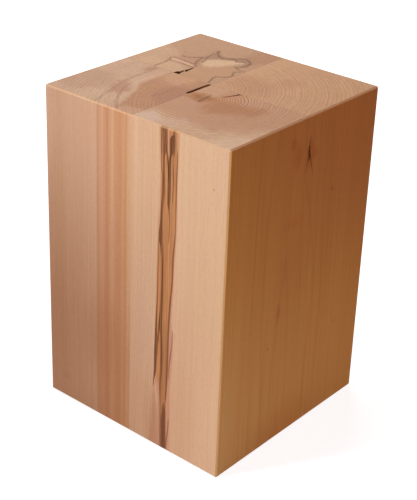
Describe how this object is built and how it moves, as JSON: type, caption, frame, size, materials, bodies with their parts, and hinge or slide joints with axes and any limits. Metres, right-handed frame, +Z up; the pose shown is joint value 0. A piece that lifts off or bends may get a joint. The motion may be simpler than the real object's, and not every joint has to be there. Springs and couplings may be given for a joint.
{
  "type": "wood block",
  "caption": "Upright square block of red-heart beech beams glued side by side, for a stool or side table, with drying checks in its end-grain top.",
  "frame": {"origin": "middle of the base, on the surface that the block stands on", "axes": "+Z up along the beams; +X to the right side, which has the knot; -Y is the front side, which has the dark streak"},
  "size_m": [0.3, 0.296, 0.45],
  "materials": {
    "beech": "planed and oiled, matt to low sheen"
  },
  "bodies": {
    "root": {"front_left_beam": "beech", "front_right_beam": "beech", "rear_left_beam": "beech", "rear_right_beam": "beech"}
  },
  "joints": []
}
